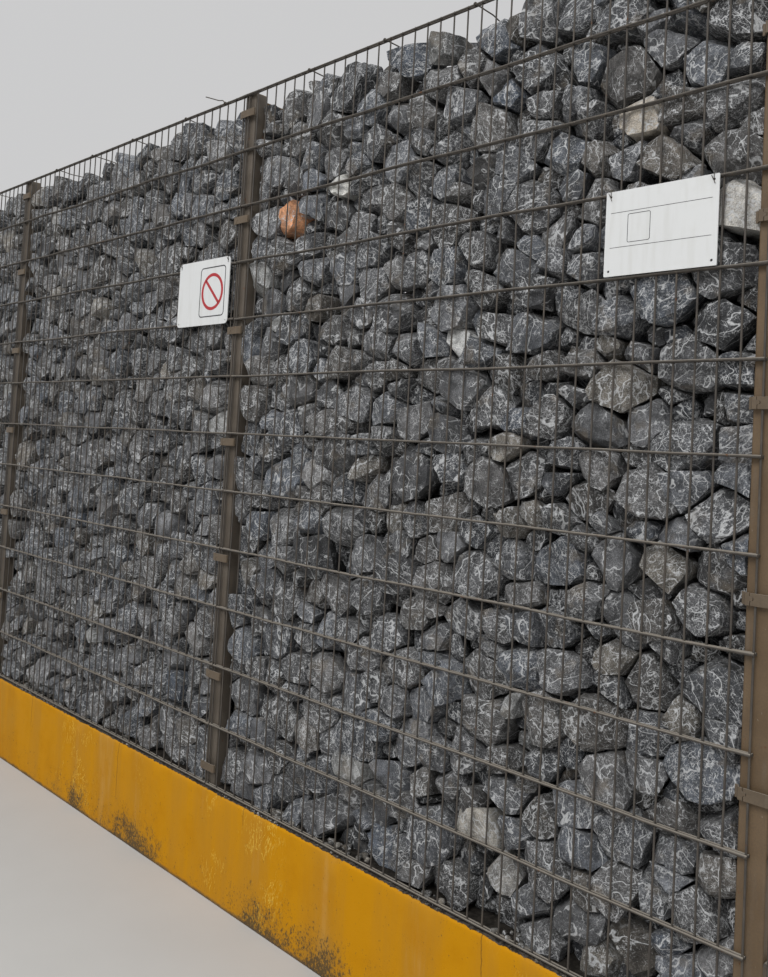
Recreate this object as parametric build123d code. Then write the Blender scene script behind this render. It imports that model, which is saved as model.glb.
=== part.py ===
from build123d import *
import math
import os

os.makedirs("parts", exist_ok=True)

# Millimetres. X runs along the wall, the side seen first faces -Y, Z is up.
# The origin is the middle of the kerb's underside.

# Bays between the centres of the posts, from left to right
BAYS = (1862.0, 1832.0, 1862.0)

# Small distances
FIT = 0.3                 # clearance between pieces that rest against each other
CUT = 1.0                 # how far a cutter reaches past the face it cuts

# Wire mesh: each upright wire stands between two level wires
CORE = 283.0              # clear depth between the front and rear mesh
ROW = 200.0               # from one pair of level wires to the next
ROWS = 12
PITCH = 50.0              # from one upright wire to the next
LEVEL_WIRE = 6.0
UPRIGHT_WIRE = 5.0
WELD = 0.6                # how far the wires sink into each other
EDGE = 6.0                # from the post's centre to a mesh's last upright
STUB = 3.5                # level wire past the last upright
TIP = 6.0                 # upright wire past the outer level wires' centres
LEAST_GAP = 8.0           # the closing upright replaces one nearer than this

# Posts, one at the front and one at the rear of each bay line
POST_WIDTH = 60.0
POST_DEPTH = 50.0
POST_ROUND = 5.0
CAP = 3.0
CAP_CHAMFER = 1.0
CAP_RISE = 2.0            # post top above the top level wire's centre
TIE_HEIGHT = 25.0         # flat bar between the front and the rear post
TIE_PLATE = 4.0
TIE_DROP = 6.0            # below the post's top

# Kerb
KERB_HEIGHT = 350.0
KERB_LEDGE = 14.0         # past the level wires and the end meshes
KERB_CHAMFER = 8.0

# Clamps that hold the mesh to the posts, in rows down from the top wire
CLAMP_ROWS = (0.35, 2.25, 4.2, 6.15, 8.15, 10.15, 11.7)
END_CLAMP_ROWS = (1.5, 3.5, 5.45, 7.45, 9.4, 11.4)
CLAMP_HEIGHT = 26.0
CLAMP_PLATE = 3.0
CLAMP_LEFT = 37.0         # past the post's centre
CLAMP_RIGHT = 46.0
CLAMP_STEP = 14.0         # where the raised part begins, from the centre
CLAMP_RISE = 4.5          # raised part in front of a tab that lies on a wire
CLAMP_LEG = 46.0          # leg round the corner of an end post

# Rods across the top between the two meshes
RODS = (0.16, 0.36, 0.55, 0.77)     # share of the bay's length
ROD = 4.5
ROD_HOOK = 16.0           # hook's drop in front of the top wire

# Stone fill
FILL_DROP = 40.0          # mean drop of the stones below the top wire
FILL_WAVE = 20.0          # how far the top of the stones rises and falls
FILL_WAVES = ((0.6, 171.0, 0.0), (0.4, 67.0, 1.0))  # share, length per radian, phase
FILL_STEP = 94.0          # length of one facet along the top

# Sign plates: centre from the bay's right post, rows down, width, height
LEFT_SIGN_FROM_POST = 197.0
LEFT_SIGN_ROW = 3.46
LEFT_SIGN_WIDTH = 322.0
LEFT_SIGN_HEIGHT = 240.0
LEFT_SIGN_ROUND = 16.0
RIGHT_SIGN_FROM_POST = 248.0
RIGHT_SIGN_ROW = 3.48
RIGHT_SIGN_WIDTH = 275.0
RIGHT_SIGN_HEIGHT = 200.0
RIGHT_SIGN_ROUND = 2.0
SIGN_PLATE = 3.0
SIGN_HOLE = 6.0
SIGN_HOLE_INSET = 12.0

# Sizes that follow from those above
LENGTH = sum(BAYS)
POST_X = [sum(BAYS[:i]) - LENGTH / 2 for i in range(len(BAYS) + 1)]
MESH_IN = CORE / 2
INNER_LEVEL_AT = MESH_IN + LEVEL_WIRE / 2
UPRIGHT_IN = MESH_IN + LEVEL_WIRE + FIT
UPRIGHT_AT = UPRIGHT_IN + UPRIGHT_WIRE / 2
UPRIGHT_OUT = UPRIGHT_IN + UPRIGHT_WIRE
LEVEL_AT = UPRIGHT_OUT - WELD + LEVEL_WIRE / 2
MESH_OUT = LEVEL_AT + LEVEL_WIRE / 2
MESH_THICK = MESH_OUT - MESH_IN
POST_FACE = MESH_IN - FIT
POST_BACK = POST_FACE - POST_DEPTH
POST_HALF = POST_WIDTH / 2
MESH_LOW = KERB_HEIGHT + FIT + TIP
MESH_TOP = MESH_LOW + ROW * ROWS
POST_TOP = MESH_TOP + CAP_RISE
END_OUT = POST_HALF + FIT + MESH_THICK
KERB_LENGTH = LENGTH + 2 * (END_OUT + KERB_LEDGE)
KERB_DEPTH = 2 * (MESH_OUT + KERB_LEDGE)


def save(name, shape):
    """Write one named node."""
    export_step(shape, f"parts/{name}.step")


def box(x0, x1, y0, y1, z0, z1):
    """A plain box between two corners."""
    size = Box(x1 - x0, y1 - y0, z1 - z0)
    return Pos((x0 + x1) / 2, (y0 + y1) / 2, (z0 + z1) / 2) * size


def behind(shape):
    """The same piece on the rear side of the wall."""
    return mirror(shape, about=Plane.XZ)


def upright_places(length):
    """Where the upright wires stand along a mesh that spans a length."""
    last = length - EDGE
    places = []
    x = EDGE
    while x < last - LEAST_GAP:
        places.append(x)
        x += PITCH
    places.append(last)
    return places


def lattice(places, x0, x1):
    """Upright wires at the places given, between pairs of level wires from x0 to x1.

    It stands in the plane of the front mesh, with its left post at x = 0.
    """
    half = UPRIGHT_WIRE / 2
    bars = []
    for x in places:
        bars.append(box(x - half, x + half, -UPRIGHT_AT - half, -UPRIGHT_AT + half,
                        MESH_LOW - TIP, MESH_TOP + TIP))
    half = LEVEL_WIRE / 2
    levels = []
    for row in range(ROWS + 1):
        z = MESH_LOW + row * ROW
        for y in (-LEVEL_AT, -INNER_LEVEL_AT):
            levels.append(box(x0, x1, y - half, y + half, z - half, z + half))
        # An inner level wire joins the first upright and runs clear of the others
        levels.append(box(places[0] - WELD, places[0] + WELD, -UPRIGHT_IN - WELD,
                          -UPRIGHT_IN + FIT + WELD, z - WELD, z + WELD))
    return levels[0].fuse(*levels[1:], *bars)


def mesh_halves(length):
    """The left and the right half of the mesh over one bay."""
    places = upright_places(length)
    count = (len(places) + 1) // 2
    split = (places[count - 1] + places[count]) / 2
    left = lattice(places[:count], EDGE - STUB, split)
    right = lattice(places[count:], split, length - EDGE + STUB)
    return left, right


# Kerb
kerb = box(-KERB_LENGTH / 2, KERB_LENGTH / 2, -KERB_DEPTH / 2, KERB_DEPTH / 2, 0, KERB_HEIGHT)
kerb = chamfer(kerb.edges().group_by(Axis.Z)[-1], KERB_CHAMFER)
save("kerb", kerb)

# Posts and caps
for i, x in enumerate(POST_X):
    post = box(x - POST_HALF, x + POST_HALF, -POST_FACE, -POST_BACK, KERB_HEIGHT, POST_TOP)
    post = fillet(post.edges().filter_by(Axis.Z), POST_ROUND)
    save(f"front_post_{i + 1}", post)
    save(f"rear_post_{i + 1}", behind(post))

caps = []
for x in POST_X:
    cap = box(x - POST_HALF, x + POST_HALF, -POST_FACE, -POST_BACK, POST_TOP, POST_TOP + CAP)
    cap = fillet(cap.edges().filter_by(Axis.Z), POST_ROUND)
    caps.append(chamfer(cap.edges().group_by(Axis.Z)[-1], CAP_CHAMFER))
save("front_post_caps", Compound(caps))
save("rear_post_caps", Compound([behind(cap) for cap in caps]))

# Flat bars that tie each front post to its rear post, near the top
ties = []
for x in POST_X:
    z = POST_TOP - TIE_DROP
    ties.append(box(x - TIE_PLATE / 2, x + TIE_PLATE / 2, -POST_BACK + FIT, POST_BACK - FIT,
                    z - TIE_HEIGHT, z))
save("post_ties", Compound(ties))

# Front and rear mesh, two halves to a bay
halves = {length: mesh_halves(length) for length in set(BAYS)}
for i, length in enumerate(BAYS):
    for side, half in zip(("left", "right"), halves[length]):
        placed = Pos(POST_X[i], 0, 0) * half
        save(f"front_mesh_{i + 1}_{side}", placed)
        save(f"rear_mesh_{i + 1}_{side}", behind(placed))

# Mesh across each end of the wall, turned to face along X
end_span = 2 * POST_FACE
end_mesh = lattice(upright_places(end_span), EDGE - STUB, end_span - EDGE + STUB)
end_mesh = Pos(-end_span / 2, MESH_IN, 0) * end_mesh
end_mesh = Pos(POST_X[-1] + POST_HALF + FIT, 0, 0) * (Rot(0, 0, 90) * end_mesh)
save("right_end_mesh", end_mesh)
save("left_end_mesh", mirror(end_mesh, about=Plane.YZ))

# Clamps, seen from above: a flat tab, then a raised part over the uprights
def clamp_outline(rest, rise):
    """Outline of a clamp whose tab rests at a distance from the wall's middle."""
    tab_out = -rest - CLAMP_PLATE
    rise_in = -rest - rise
    rise_out = tab_out - rise
    lip = CLAMP_RIGHT - CLAMP_PLATE
    return [
        (-CLAMP_LEFT, -rest), (-CLAMP_LEFT, tab_out), (-CLAMP_STEP - CLAMP_PLATE, tab_out),
        (-CLAMP_STEP, rise_out), (CLAMP_RIGHT, rise_out), (CLAMP_RIGHT, -rest), (lip, -rest),
        (lip, rise_in), (-CLAMP_STEP + CLAMP_PLATE, rise_in), (-CLAMP_STEP, -rest)]


def end_clamp_outline(rest, rise):
    """The same, with a leg round the corner to the mesh across the end."""
    tab_out = -rest - CLAMP_PLATE
    rise_in = -rest - rise
    rise_out = tab_out - rise
    inner = POST_HALF + FIT + UPRIGHT_OUT - MESH_IN + FIT
    outer = inner + CLAMP_PLATE
    return [
        (-CLAMP_LEFT, -rest), (-CLAMP_LEFT, tab_out), (-CLAMP_STEP - CLAMP_PLATE, tab_out),
        (-CLAMP_STEP, rise_out), (outer, rise_out), (outer, rise_out + CLAMP_LEG),
        (inner, rise_out + CLAMP_LEG), (inner, rise_in),
        (-CLAMP_STEP + CLAMP_PLATE, rise_in), (-CLAMP_STEP, -rest)]


def clamp(outline, x, row):
    """One clamp on the post at x, a number of rows below the top wire."""
    face = make_face(Polyline(*outline, close=True))
    z = MESH_TOP - row * ROW - CLAMP_HEIGHT / 2
    return Pos(x, 0, z) * extrude(face, CLAMP_HEIGHT, dir=(0, 0, 1))


def wire_under_tab(length):
    """Whether the mesh at the left has an upright where the tab would rest."""
    gaps = [length - x for x in upright_places(length)]
    return any(CLAMP_STEP < gap < CLAMP_LEFT for gap in gaps)


on_post = POST_FACE + FIT
on_wire = UPRIGHT_OUT + FIT
for i, x in enumerate(POST_X):
    if i == 0:
        outline = [(-px, py) for px, py in end_clamp_outline(on_post, on_wire - on_post)]
    elif i == len(POST_X) - 1:
        outline = end_clamp_outline(on_post, on_wire - on_post)
    elif wire_under_tab(BAYS[i - 1]):
        outline = clamp_outline(on_wire, CLAMP_RISE)
    else:
        outline = clamp_outline(on_post, on_wire - on_post)
    rows = END_CLAMP_ROWS if i in (0, len(POST_X) - 1) else CLAMP_ROWS
    clamps = Compound([clamp(outline, x, row) for row in rows])
    save(f"front_clamps_{i + 1}", clamps)
    save(f"rear_clamps_{i + 1}", behind(clamps))

# Rods across the top
rod_z = MESH_TOP + LEVEL_WIRE / 2 + ROD / 2 + FIT
rod_end = MESH_OUT + ROD / 2 + FIT
for i, length in enumerate(BAYS):
    rods = []
    for share in RODS:
        opening = round((share * length - EDGE) / PITCH) + 0.5
        x = POST_X[i] + EDGE + PITCH * opening
        path = Polyline((x, -rod_end, rod_z - ROD_HOOK), (x, -rod_end, rod_z),
                        (x, rod_end, rod_z), (x, rod_end, rod_z - ROD_HOOK))
        start = Plane(origin=(x, -rod_end, rod_z - ROD_HOOK), z_dir=(0, 0, 1))
        section = start * Rectangle(ROD, ROD)
        rods.append(sweep(section, path, transition=Transition.RIGHT))
    save(f"top_rods_{i + 1}", Compound(rods))


# Stone fill, one mass to a bay
def fill_top(x):
    """Height of the top of the stones at x."""
    wave = sum(share * math.sin(x / run + phase) for share, run, phase in FILL_WAVES)
    return MESH_TOP - FILL_DROP + FILL_WAVE * wave


for i, length in enumerate(BAYS):
    x0 = POST_X[i] + FIT
    x1 = POST_X[i + 1] - FIT
    if i == 0:
        x0 = POST_X[i] - POST_HALF
    if i == len(BAYS) - 1:
        x1 = POST_X[i + 1] + POST_HALF
    facets = round((x1 - x0) / FILL_STEP)
    stations = [x0 + (x1 - x0) * k / facets for k in range(facets + 1)]
    outline = [(x0, KERB_HEIGHT)] + [(x, fill_top(x)) for x in stations] + [(x1, KERB_HEIGHT)]
    face = Plane.XZ * make_face(Polyline(*outline, close=True))
    fill = extrude(face, POST_FACE, both=True)
    for x in (POST_X[i], POST_X[i + 1]):
        for y0, y1 in ((-MESH_IN, -POST_BACK + FIT), (POST_BACK - FIT, MESH_IN)):
            fill -= box(x - POST_HALF - FIT, x + POST_HALF + FIT, y0, y1,
                        KERB_HEIGHT - CUT, MESH_TOP)
    save(f"stone_fill_{i + 1}", fill)


# Sign plates, hung in front of the level wires
def sign(x, row, width, height, radius):
    """A thin plate with rounded corners and a hole near each corner."""
    plate = RectangleRounded(width, height, radius)
    sx = width / 2 - SIGN_HOLE_INSET
    sz = height / 2 - SIGN_HOLE_INSET
    for px, pz in ((-sx, -sz), (sx, -sz), (-sx, sz), (sx, sz)):
        plate -= Pos(px, pz) * Circle(SIGN_HOLE / 2)
    solid = extrude(plate, SIGN_PLATE)
    place = Pos(x, -MESH_OUT - FIT, MESH_TOP - row * ROW)
    return place * (Rot(90, 0, 0) * solid)


save("left_sign", sign(POST_X[-2] - LEFT_SIGN_FROM_POST, LEFT_SIGN_ROW,
                       LEFT_SIGN_WIDTH, LEFT_SIGN_HEIGHT, LEFT_SIGN_ROUND))
save("right_sign", sign(POST_X[-1] - RIGHT_SIGN_FROM_POST, RIGHT_SIGN_ROW,
                        RIGHT_SIGN_WIDTH, RIGHT_SIGN_HEIGHT, RIGHT_SIGN_ROUND))
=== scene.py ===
import math

import bmesh
import bpy
import numpy as np
from mathutils import Matrix, Vector


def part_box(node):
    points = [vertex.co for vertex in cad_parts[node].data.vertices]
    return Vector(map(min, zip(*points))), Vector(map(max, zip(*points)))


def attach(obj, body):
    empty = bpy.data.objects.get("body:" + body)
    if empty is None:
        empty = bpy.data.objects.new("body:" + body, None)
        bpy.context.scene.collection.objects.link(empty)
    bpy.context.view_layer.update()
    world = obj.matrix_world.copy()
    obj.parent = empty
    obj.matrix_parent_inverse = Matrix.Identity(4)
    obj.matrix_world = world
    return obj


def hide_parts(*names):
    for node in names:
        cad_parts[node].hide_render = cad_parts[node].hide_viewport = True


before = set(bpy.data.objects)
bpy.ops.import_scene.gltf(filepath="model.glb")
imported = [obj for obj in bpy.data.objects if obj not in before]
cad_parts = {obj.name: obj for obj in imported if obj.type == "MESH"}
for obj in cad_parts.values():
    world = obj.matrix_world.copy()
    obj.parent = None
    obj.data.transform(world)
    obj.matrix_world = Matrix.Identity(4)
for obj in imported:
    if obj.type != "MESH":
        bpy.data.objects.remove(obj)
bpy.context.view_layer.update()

# Metres, in the part's frame: X runs along the wall, the side seen first faces -Y, Z is up.
BAYS = 3
SIDES = (("front", -1), ("rear", 1))

# Places read from the frame
posts = [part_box(f"front_post_{i + 1}") for i in range(BAYS + 1)]
POST_X = [(low.x + high.x) / 2 for low, high in posts]
POST_HALF = (posts[0][1].x - posts[0][0].x) / 2
POST_BACK = -posts[0][1].y
MESH_IN = -posts[0][0].y
KERB_LOW, KERB_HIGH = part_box("kerb")
KERB_TOP = KERB_HIGH.z

# Wire mesh, as in the part's source: each upright stands between two level wires
ROW = 0.200
ROWS = 12
PITCH = 0.050
LEVEL_RADIUS = 0.0030
UPRIGHT_RADIUS = 0.0025
EDGE = 0.006
STUB = 0.0035
TIP = 0.006
LEAST_GAP = 0.008
FIT = 0.0003
WELD = 0.0006
MESH_LOW = KERB_TOP + FIT + TIP
MESH_TOP = MESH_LOW + ROW * ROWS
UPRIGHT_AT = MESH_IN + FIT + 2 * LEVEL_RADIUS + FIT + UPRIGHT_RADIUS
INNER_LEVEL_AT = UPRIGHT_AT - UPRIGHT_RADIUS + WELD - LEVEL_RADIUS
LEVEL_AT = UPRIGHT_AT + UPRIGHT_RADIUS - WELD + LEVEL_RADIUS

# How far the wires waver, less so in the top and bottom rows, the points that bend them, and the
# thick end of a level wire
LEVEL_WAVE = 0.0011
OUTER_ROW_CALM = 0.4
UPRIGHT_WAVE = 0.0009
LEVEL_STEPS = 26
END_LEVEL_STEPS = 6
UPRIGHT_STEPS = 9
LEVEL_KNOB = 1.3

# Top of the stones: mean drop below the top wire, its rise and fall, and its waves as share,
# length per radian and phase
FILL_DROP = 0.040
FILL_WAVE = 0.020
FILL_WAVES = ((0.6, 0.171, 0.0), (0.4, 0.067, 1.0))

# Angles in degrees from which an edge is drawn sharp: on wires, on plates and the kerb, on stones
ROUND_SHARP = 50
EDGE_SHARP = 40
STONE_SHARP = 27


def fill_top(x):
    """Height of the top of the stones at x."""
    wave = sum(share * np.sin(x / run + phase) for share, run, phase in FILL_WAVES)
    return MESH_TOP - FILL_DROP + FILL_WAVE * wave


# Seeds of the random draws
STONE_SEED = 7
CHIP_SEED = 17
WIRE_SEED = 11
ROD_SEED = 5
KERB_SEED = 3


# Meshes

def make_mesh(name, verts, faces, sharp=None):
    """A mesh from an array of corners and an array of faces with equal side counts."""
    verts = np.asarray(verts, np.float32).reshape(-1, 3)
    faces = np.asarray(faces, np.int32)
    sides = faces.shape[1]
    mesh = bpy.data.meshes.new(name)
    mesh.vertices.add(len(verts))
    mesh.vertices.foreach_set("co", verts.ravel())
    mesh.loops.add(faces.size)
    mesh.loops.foreach_set("vertex_index", faces.ravel())
    mesh.polygons.add(len(faces))
    mesh.polygons.foreach_set("loop_start", np.arange(0, faces.size, sides, dtype=np.int32))
    mesh.update(calc_edges=True)
    mesh.validate()
    if sharp is not None:
        mesh.shade_smooth()
        mesh.set_sharp_from_angle(angle=math.radians(sharp))
    return mesh


def give_points(mesh, name, values):
    """Gives each corner of a mesh a vector or a colour, under a name."""
    kind, key = ("FLOAT_COLOR", "color") if values.shape[1] == 4 else ("FLOAT_VECTOR", "vector")
    mesh.attributes.new(name, kind, "POINT").data.foreach_set(key, values.astype(np.float32).ravel())


def add_piece(name, mesh, material, replaced=()):
    """Puts a mesh in the scene as a piece of the wall."""
    obj = bpy.data.objects.new(name, mesh)
    bpy.context.scene.collection.objects.link(obj)
    mesh.materials.clear()
    mesh.materials.append(material)
    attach(obj, "root")
    if replaced:
        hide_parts(*replaced)
    return obj


def soften(obj, width):
    """Rounds the sharp edges a little."""
    bevel = obj.modifiers.new("soft edge", "BEVEL")
    bevel.width = width
    bevel.segments = 2
    bevel.limit_method = "ANGLE"
    bevel.angle_limit = math.radians(EDGE_SHARP)


def unit_rows(rows):
    """Each row at a length of one."""
    return rows / np.linalg.norm(rows, axis=-1)[..., None]


def joined(parts):
    """Several sets of corners and faces as one."""
    verts = []
    faces = []
    count = 0
    for part_verts, part_faces in parts:
        verts.append(part_verts)
        faces.append(np.asarray(part_faces) + count)
        count += len(part_verts)
    return np.concatenate(verts), np.concatenate(faces)


def tube(path, radius, sides=8):
    """A round wire along a path, with closed ends, as quads."""
    path = np.asarray(path, float)
    along = np.gradient(path, axis=0)
    along /= np.linalg.norm(along, axis=1)[:, None]
    guide = np.array((0.31, 0.87, 0.11))
    if abs(along[0] @ guide) > 0.8:
        guide = np.array((0.95, 0.05, 0.2))
    across = []
    for step in along:
        guide = guide - step * (guide @ step)
        guide = guide / np.linalg.norm(guide)
        across.append(guide)
    across = np.array(across)
    third = np.cross(along, across)
    angles = np.arange(sides) * 2 * math.pi / sides
    ring = np.cos(angles)[None, :, None] * across[:, None] + np.sin(angles)[None, :, None] * third[:, None]
    verts = (path[:, None] + np.reshape(radius, (-1, 1, 1)) * ring).reshape(-1, 3)
    faces = []
    for i in range(len(path) - 1):
        for k in range(sides):
            n = (k + 1) % sides
            faces.append((i * sides + k, i * sides + n, (i + 1) * sides + n, (i + 1) * sides + k))
    last = (len(path) - 1) * sides
    for k in range(1, sides - 2, 2):
        faces.append((0, k + 2, k + 1, k))
        faces.append((last, last + k, last + k + 1, last + k + 2))
    return verts, faces


def rounded_path(corners, radius, steps=3):
    """A path through the corners with each corner rounded."""
    corners = [Vector(c) for c in corners]
    points = [corners[0]]
    for before, corner, after in zip(corners, corners[1:], corners[2:]):
        cut = min(radius, (before - corner).length / 2, (after - corner).length / 2)
        start = corner + (before - corner).normalized() * cut
        end = corner + (after - corner).normalized() * cut
        for k in range(steps + 1):
            t = k / steps
            points.append(start * (1 - t) ** 2 + corner * 2 * t * (1 - t) + end * t ** 2)
    points.append(corners[-1])
    return np.array([tuple(p) for p in points])


# Materials

class Nodes:
    """Short names for the nodes of one material or world."""

    def __init__(self, owner):
        self.owner = owner
        owner.use_nodes = True
        self.tree = owner.node_tree

    def add(self, kind, inputs=(), **settings):
        node = self.tree.nodes.new(kind)
        for key, value in settings.items():
            setattr(node, key, value)
        for key, value in dict(inputs).items():
            self.put(node.inputs[key], value)
        return node

    def put(self, socket, value):
        """Links or sets one input. Colours are given without alpha."""
        if isinstance(value, bpy.types.NodeSocket):
            self.tree.links.new(value, socket)
        elif socket.type == "RGBA":
            socket.default_value = (*value, 1.0)
        else:
            socket.default_value = value

    def finish(self, **values):
        """Sets the inputs of the material's shader and gives the material."""
        shader = self.tree.nodes["Principled BSDF"]
        for key, value in values.items():
            self.put(shader.inputs[key.replace("_", " ")], value)
        return self.owner

    def math(self, kind, a, b=0.0):
        return self.add("ShaderNodeMath", {0: a, 1: b}, operation=kind).outputs[0]

    def plus(self, a, b):
        return self.math("ADD", a, b)

    def minus(self, a, b):
        return self.math("SUBTRACT", a, b)

    def times(self, a, b):
        return self.math("MULTIPLY", a, b)

    def most(self, a, b):
        return self.math("MAXIMUM", a, b)

    def apart(self, a, b):
        return self.math("ABSOLUTE", self.minus(a, b))

    def vector(self, kind, a, b):
        return self.add("ShaderNodeVectorMath", {0: a, 1: b}, operation=kind).outputs[0]

    def drawn_out(self, vector, height):
        """The vector with its height scaled, so that marks run up and down."""
        return self.vector("MULTIPLY", vector, (1.0, 1.0, height))

    def warped(self, vector, scale, amount):
        """The vector pushed about by noise."""
        node = self.add("ShaderNodeTexNoise", {"Vector": vector, "Scale": scale, "Detail": 3.0})
        push = self.vector("SUBTRACT", node.outputs["Color"], (0.5, 0.5, 0.5))
        scaled = self.add("ShaderNodeVectorMath", {0: push, "Scale": amount}, operation="SCALE")
        return self.vector("ADD", vector, scaled.outputs[0])

    def noise(self, vector, scale, detail=4.0, rough=0.55):
        return self.add("ShaderNodeTexNoise", {"Vector": vector, "Scale": scale, "Detail": detail,
                                               "Roughness": rough}).outputs["Fac"]

    def cracks(self, vector, scale):
        return self.add("ShaderNodeTexVoronoi", {"Vector": vector, "Scale": scale},
                        feature="DISTANCE_TO_EDGE").outputs["Distance"]

    def span(self, value, low, high, to_low=0.0, to_high=1.0):
        """A value between two limits, turned smoothly into one between two others."""
        return self.add("ShaderNodeMapRange", {"Value": value, "From Min": low, "From Max": high,
                                               "To Min": to_low, "To Max": to_high},
                        interpolation_type="SMOOTHSTEP").outputs["Result"]

    def mix(self, amount, a, b, blend="MIX"):
        return self.add("ShaderNodeMix", {"Factor": amount, "A": a, "B": b}, data_type="RGBA",
                        blend_type=blend).outputs["Result"]

    def coat(self, under, mask, strength, over):
        """A colour laid over another where a mask allows."""
        return self.mix(self.times(mask, strength), under, over)

    def bump(self, height, distance, strength):
        return self.add("ShaderNodeBump", {"Height": height, "Distance": distance,
                                           "Strength": strength}).outputs["Normal"]

    def place(self):
        return self.add("ShaderNodeTexCoord").outputs["Object"]

    def upward(self):
        """How far the face looks up."""
        normal = self.add("ShaderNodeNewGeometry").outputs["Normal"]
        return self.add("ShaderNodeSeparateXYZ", {"Vector": normal}).outputs["Z"]


def new_material(name):
    """The nodes of a new material."""
    return Nodes(bpy.data.materials.new(name))


# Marks on the kerb: dirt by place along it and reach each way, cracks by place and lower end
KERB_SMUDGES = ((0.50, 0.36), (1.26, 0.17), (1.56, 0.24), (0.03, 0.20), (-1.10, 0.30),
                (-2.20, 0.22), (2.35, 0.26))
KERB_CRACKS = ((1.157, 0.27), (0.352, 0.12), (-0.417, 0.20), (2.140, 0.22), (-1.730, 0.10))


def limestone():
    """Dark limestone with white veins, coloured stone by stone."""
    n = new_material("veined_limestone")
    grain = n.add("ShaderNodeAttribute", attribute_name="grain").outputs["Vector"]
    body = n.add("ShaderNodeAttribute", attribute_name="body")
    bent = n.warped(grain, 26.0, 0.008)
    drawn = n.drawn_out(bent, 0.42)
    cloud = n.noise(grain, 24.0, 5.0, 0.66)
    speck = n.noise(grain, 330.0, 3.0, 0.75)
    patch = n.noise(grain, 17.0, 3.0, 0.62)
    cover = n.plus(patch, n.times(body.outputs["Alpha"], 0.36))

    def lines(place, scale, width, detail, rough, thin, thick):
        """White lines where a noise passes its middle value, where the cover allows."""
        apart = n.apart(n.noise(place, scale, detail, rough), 0.5)
        return n.times(n.span(apart, width * 0.3, width, 1.0, 0.0), n.span(cover, thin, thick))

    web_at = n.warped(grain, 70.0, 0.013)
    some = n.span(n.noise(grain, 31.0, 3.0), 0.46, 0.60)
    web = n.times(n.span(n.cracks(web_at, 44.0), 0.008, 0.034, 1.0, 0.0), some)
    web = n.times(web, n.span(cover, 0.46, 0.62))
    major = lines(drawn, 12.0, 0.011, 3.0, 0.50, 0.44, 0.60)
    middle = lines(drawn, 36.0, 0.022, 3.0, 0.50, 0.50, 0.76)
    hair = lines(bent, 105.0, 0.040, 2.0, 0.60, 0.52, 0.88)
    broken = n.span(n.noise(grain, 84.0, 2.0), 0.40, 0.56, 0.12, 1.0)
    middle = n.times(middle, broken)
    hair = n.times(hair, broken)
    pale = n.most(n.most(major, middle), n.most(web, n.times(hair, 0.7)))
    fleck = n.span(n.noise(grain, 165.0, 4.0, 0.82), 0.555, 0.68)
    fleck = n.times(fleck, n.span(cover, 0.44, 0.86, 0.20, 0.78))
    pale = n.most(pale, fleck)
    pale = n.times(pale, n.span(speck, 0.30, 0.58, 0.45, 1.0))

    shade = n.times(n.span(cloud, 0.30, 0.72, 0.50, 1.70), n.span(speck, 0.3, 0.7, 0.60, 1.50))
    shade = n.add("ShaderNodeCombineColor", {0: shade, 1: shade, 2: shade}).outputs["Color"]
    colour = n.mix(1.0, body.outputs["Color"], shade, "MULTIPLY")
    colour = n.mix(pale, colour, (0.470, 0.475, 0.480))
    settled = n.span(n.noise(grain, 60.0), 0.35, 0.7, 0.05, 0.32)
    dust = n.times(n.span(n.upward(), 0.30, 0.95), settled)
    colour = n.mix(dust, colour, (0.215, 0.208, 0.192))
    soil = n.span(n.noise(grain, 13.0, 3.0), 0.58, 0.72)
    colour = n.coat(colour, soil, 0.38, (0.150, 0.118, 0.080))

    relief = n.plus(n.times(cloud, 1.2), n.times(speck, 0.35))
    relief = n.plus(relief, n.times(n.noise(grain, 120.0, 2.0, 0.6), 0.7))
    return n.finish(Base_Color=colour, Roughness=n.span(cloud, 0.3, 0.7, 0.72, 0.92),
                    Normal=n.bump(relief, 0.0028, 0.85), Specular_IOR_Level=0.35)


def painted_steel(name, colour, worn, gloss, scale=1.0, dust_and_top_light=0.45):
    """Satin paint on steel, with small rust marks, lighter rubbed places, and dust with painted light from
    above on upward faces.
    """
    n = new_material(name)
    place = n.place()
    cloud = n.noise(place, 9.0 * scale, 3.0)
    fine = n.noise(place, 260.0, 3.0, 0.6)
    run = n.noise(n.drawn_out(place, 0.16), 34.0 * scale, 3.0, 0.6)
    paint = n.mix(n.span(cloud, 0.3, 0.7), colour, worn)
    paint = n.coat(paint, n.span(run, 0.52, 0.74), 0.40, (0.150, 0.120, 0.090))
    paint = n.coat(paint, n.span(fine, 0.35, 0.7), 0.25, (0.060, 0.046, 0.034))
    # Upward faces are lightened: partly dust, partly painted light from above
    paint = n.coat(paint, n.span(n.upward(), 0.2, 0.95), dust_and_top_light, (0.27, 0.24, 0.20))
    scratch = n.span(n.noise(n.drawn_out(place, 0.4), 150.0, 3.0, 0.7), 0.70, 0.74)
    paint = n.coat(paint, scratch, 0.55, (0.290, 0.265, 0.230))
    rust = n.span(n.noise(n.warped(place, 60.0, 0.01), 46.0, 4.0, 0.7), 0.655, 0.70)
    paint = n.coat(paint, rust, 0.8, (0.120, 0.047, 0.018))
    rough = n.plus(n.span(cloud, 0.3, 0.7, gloss, gloss + 0.14), n.times(rust, 0.3))
    return n.finish(Base_Color=paint, Roughness=rough, Normal=n.bump(fine, 0.0004, 0.35),
                    Specular_IOR_Level=0.30)


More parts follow.
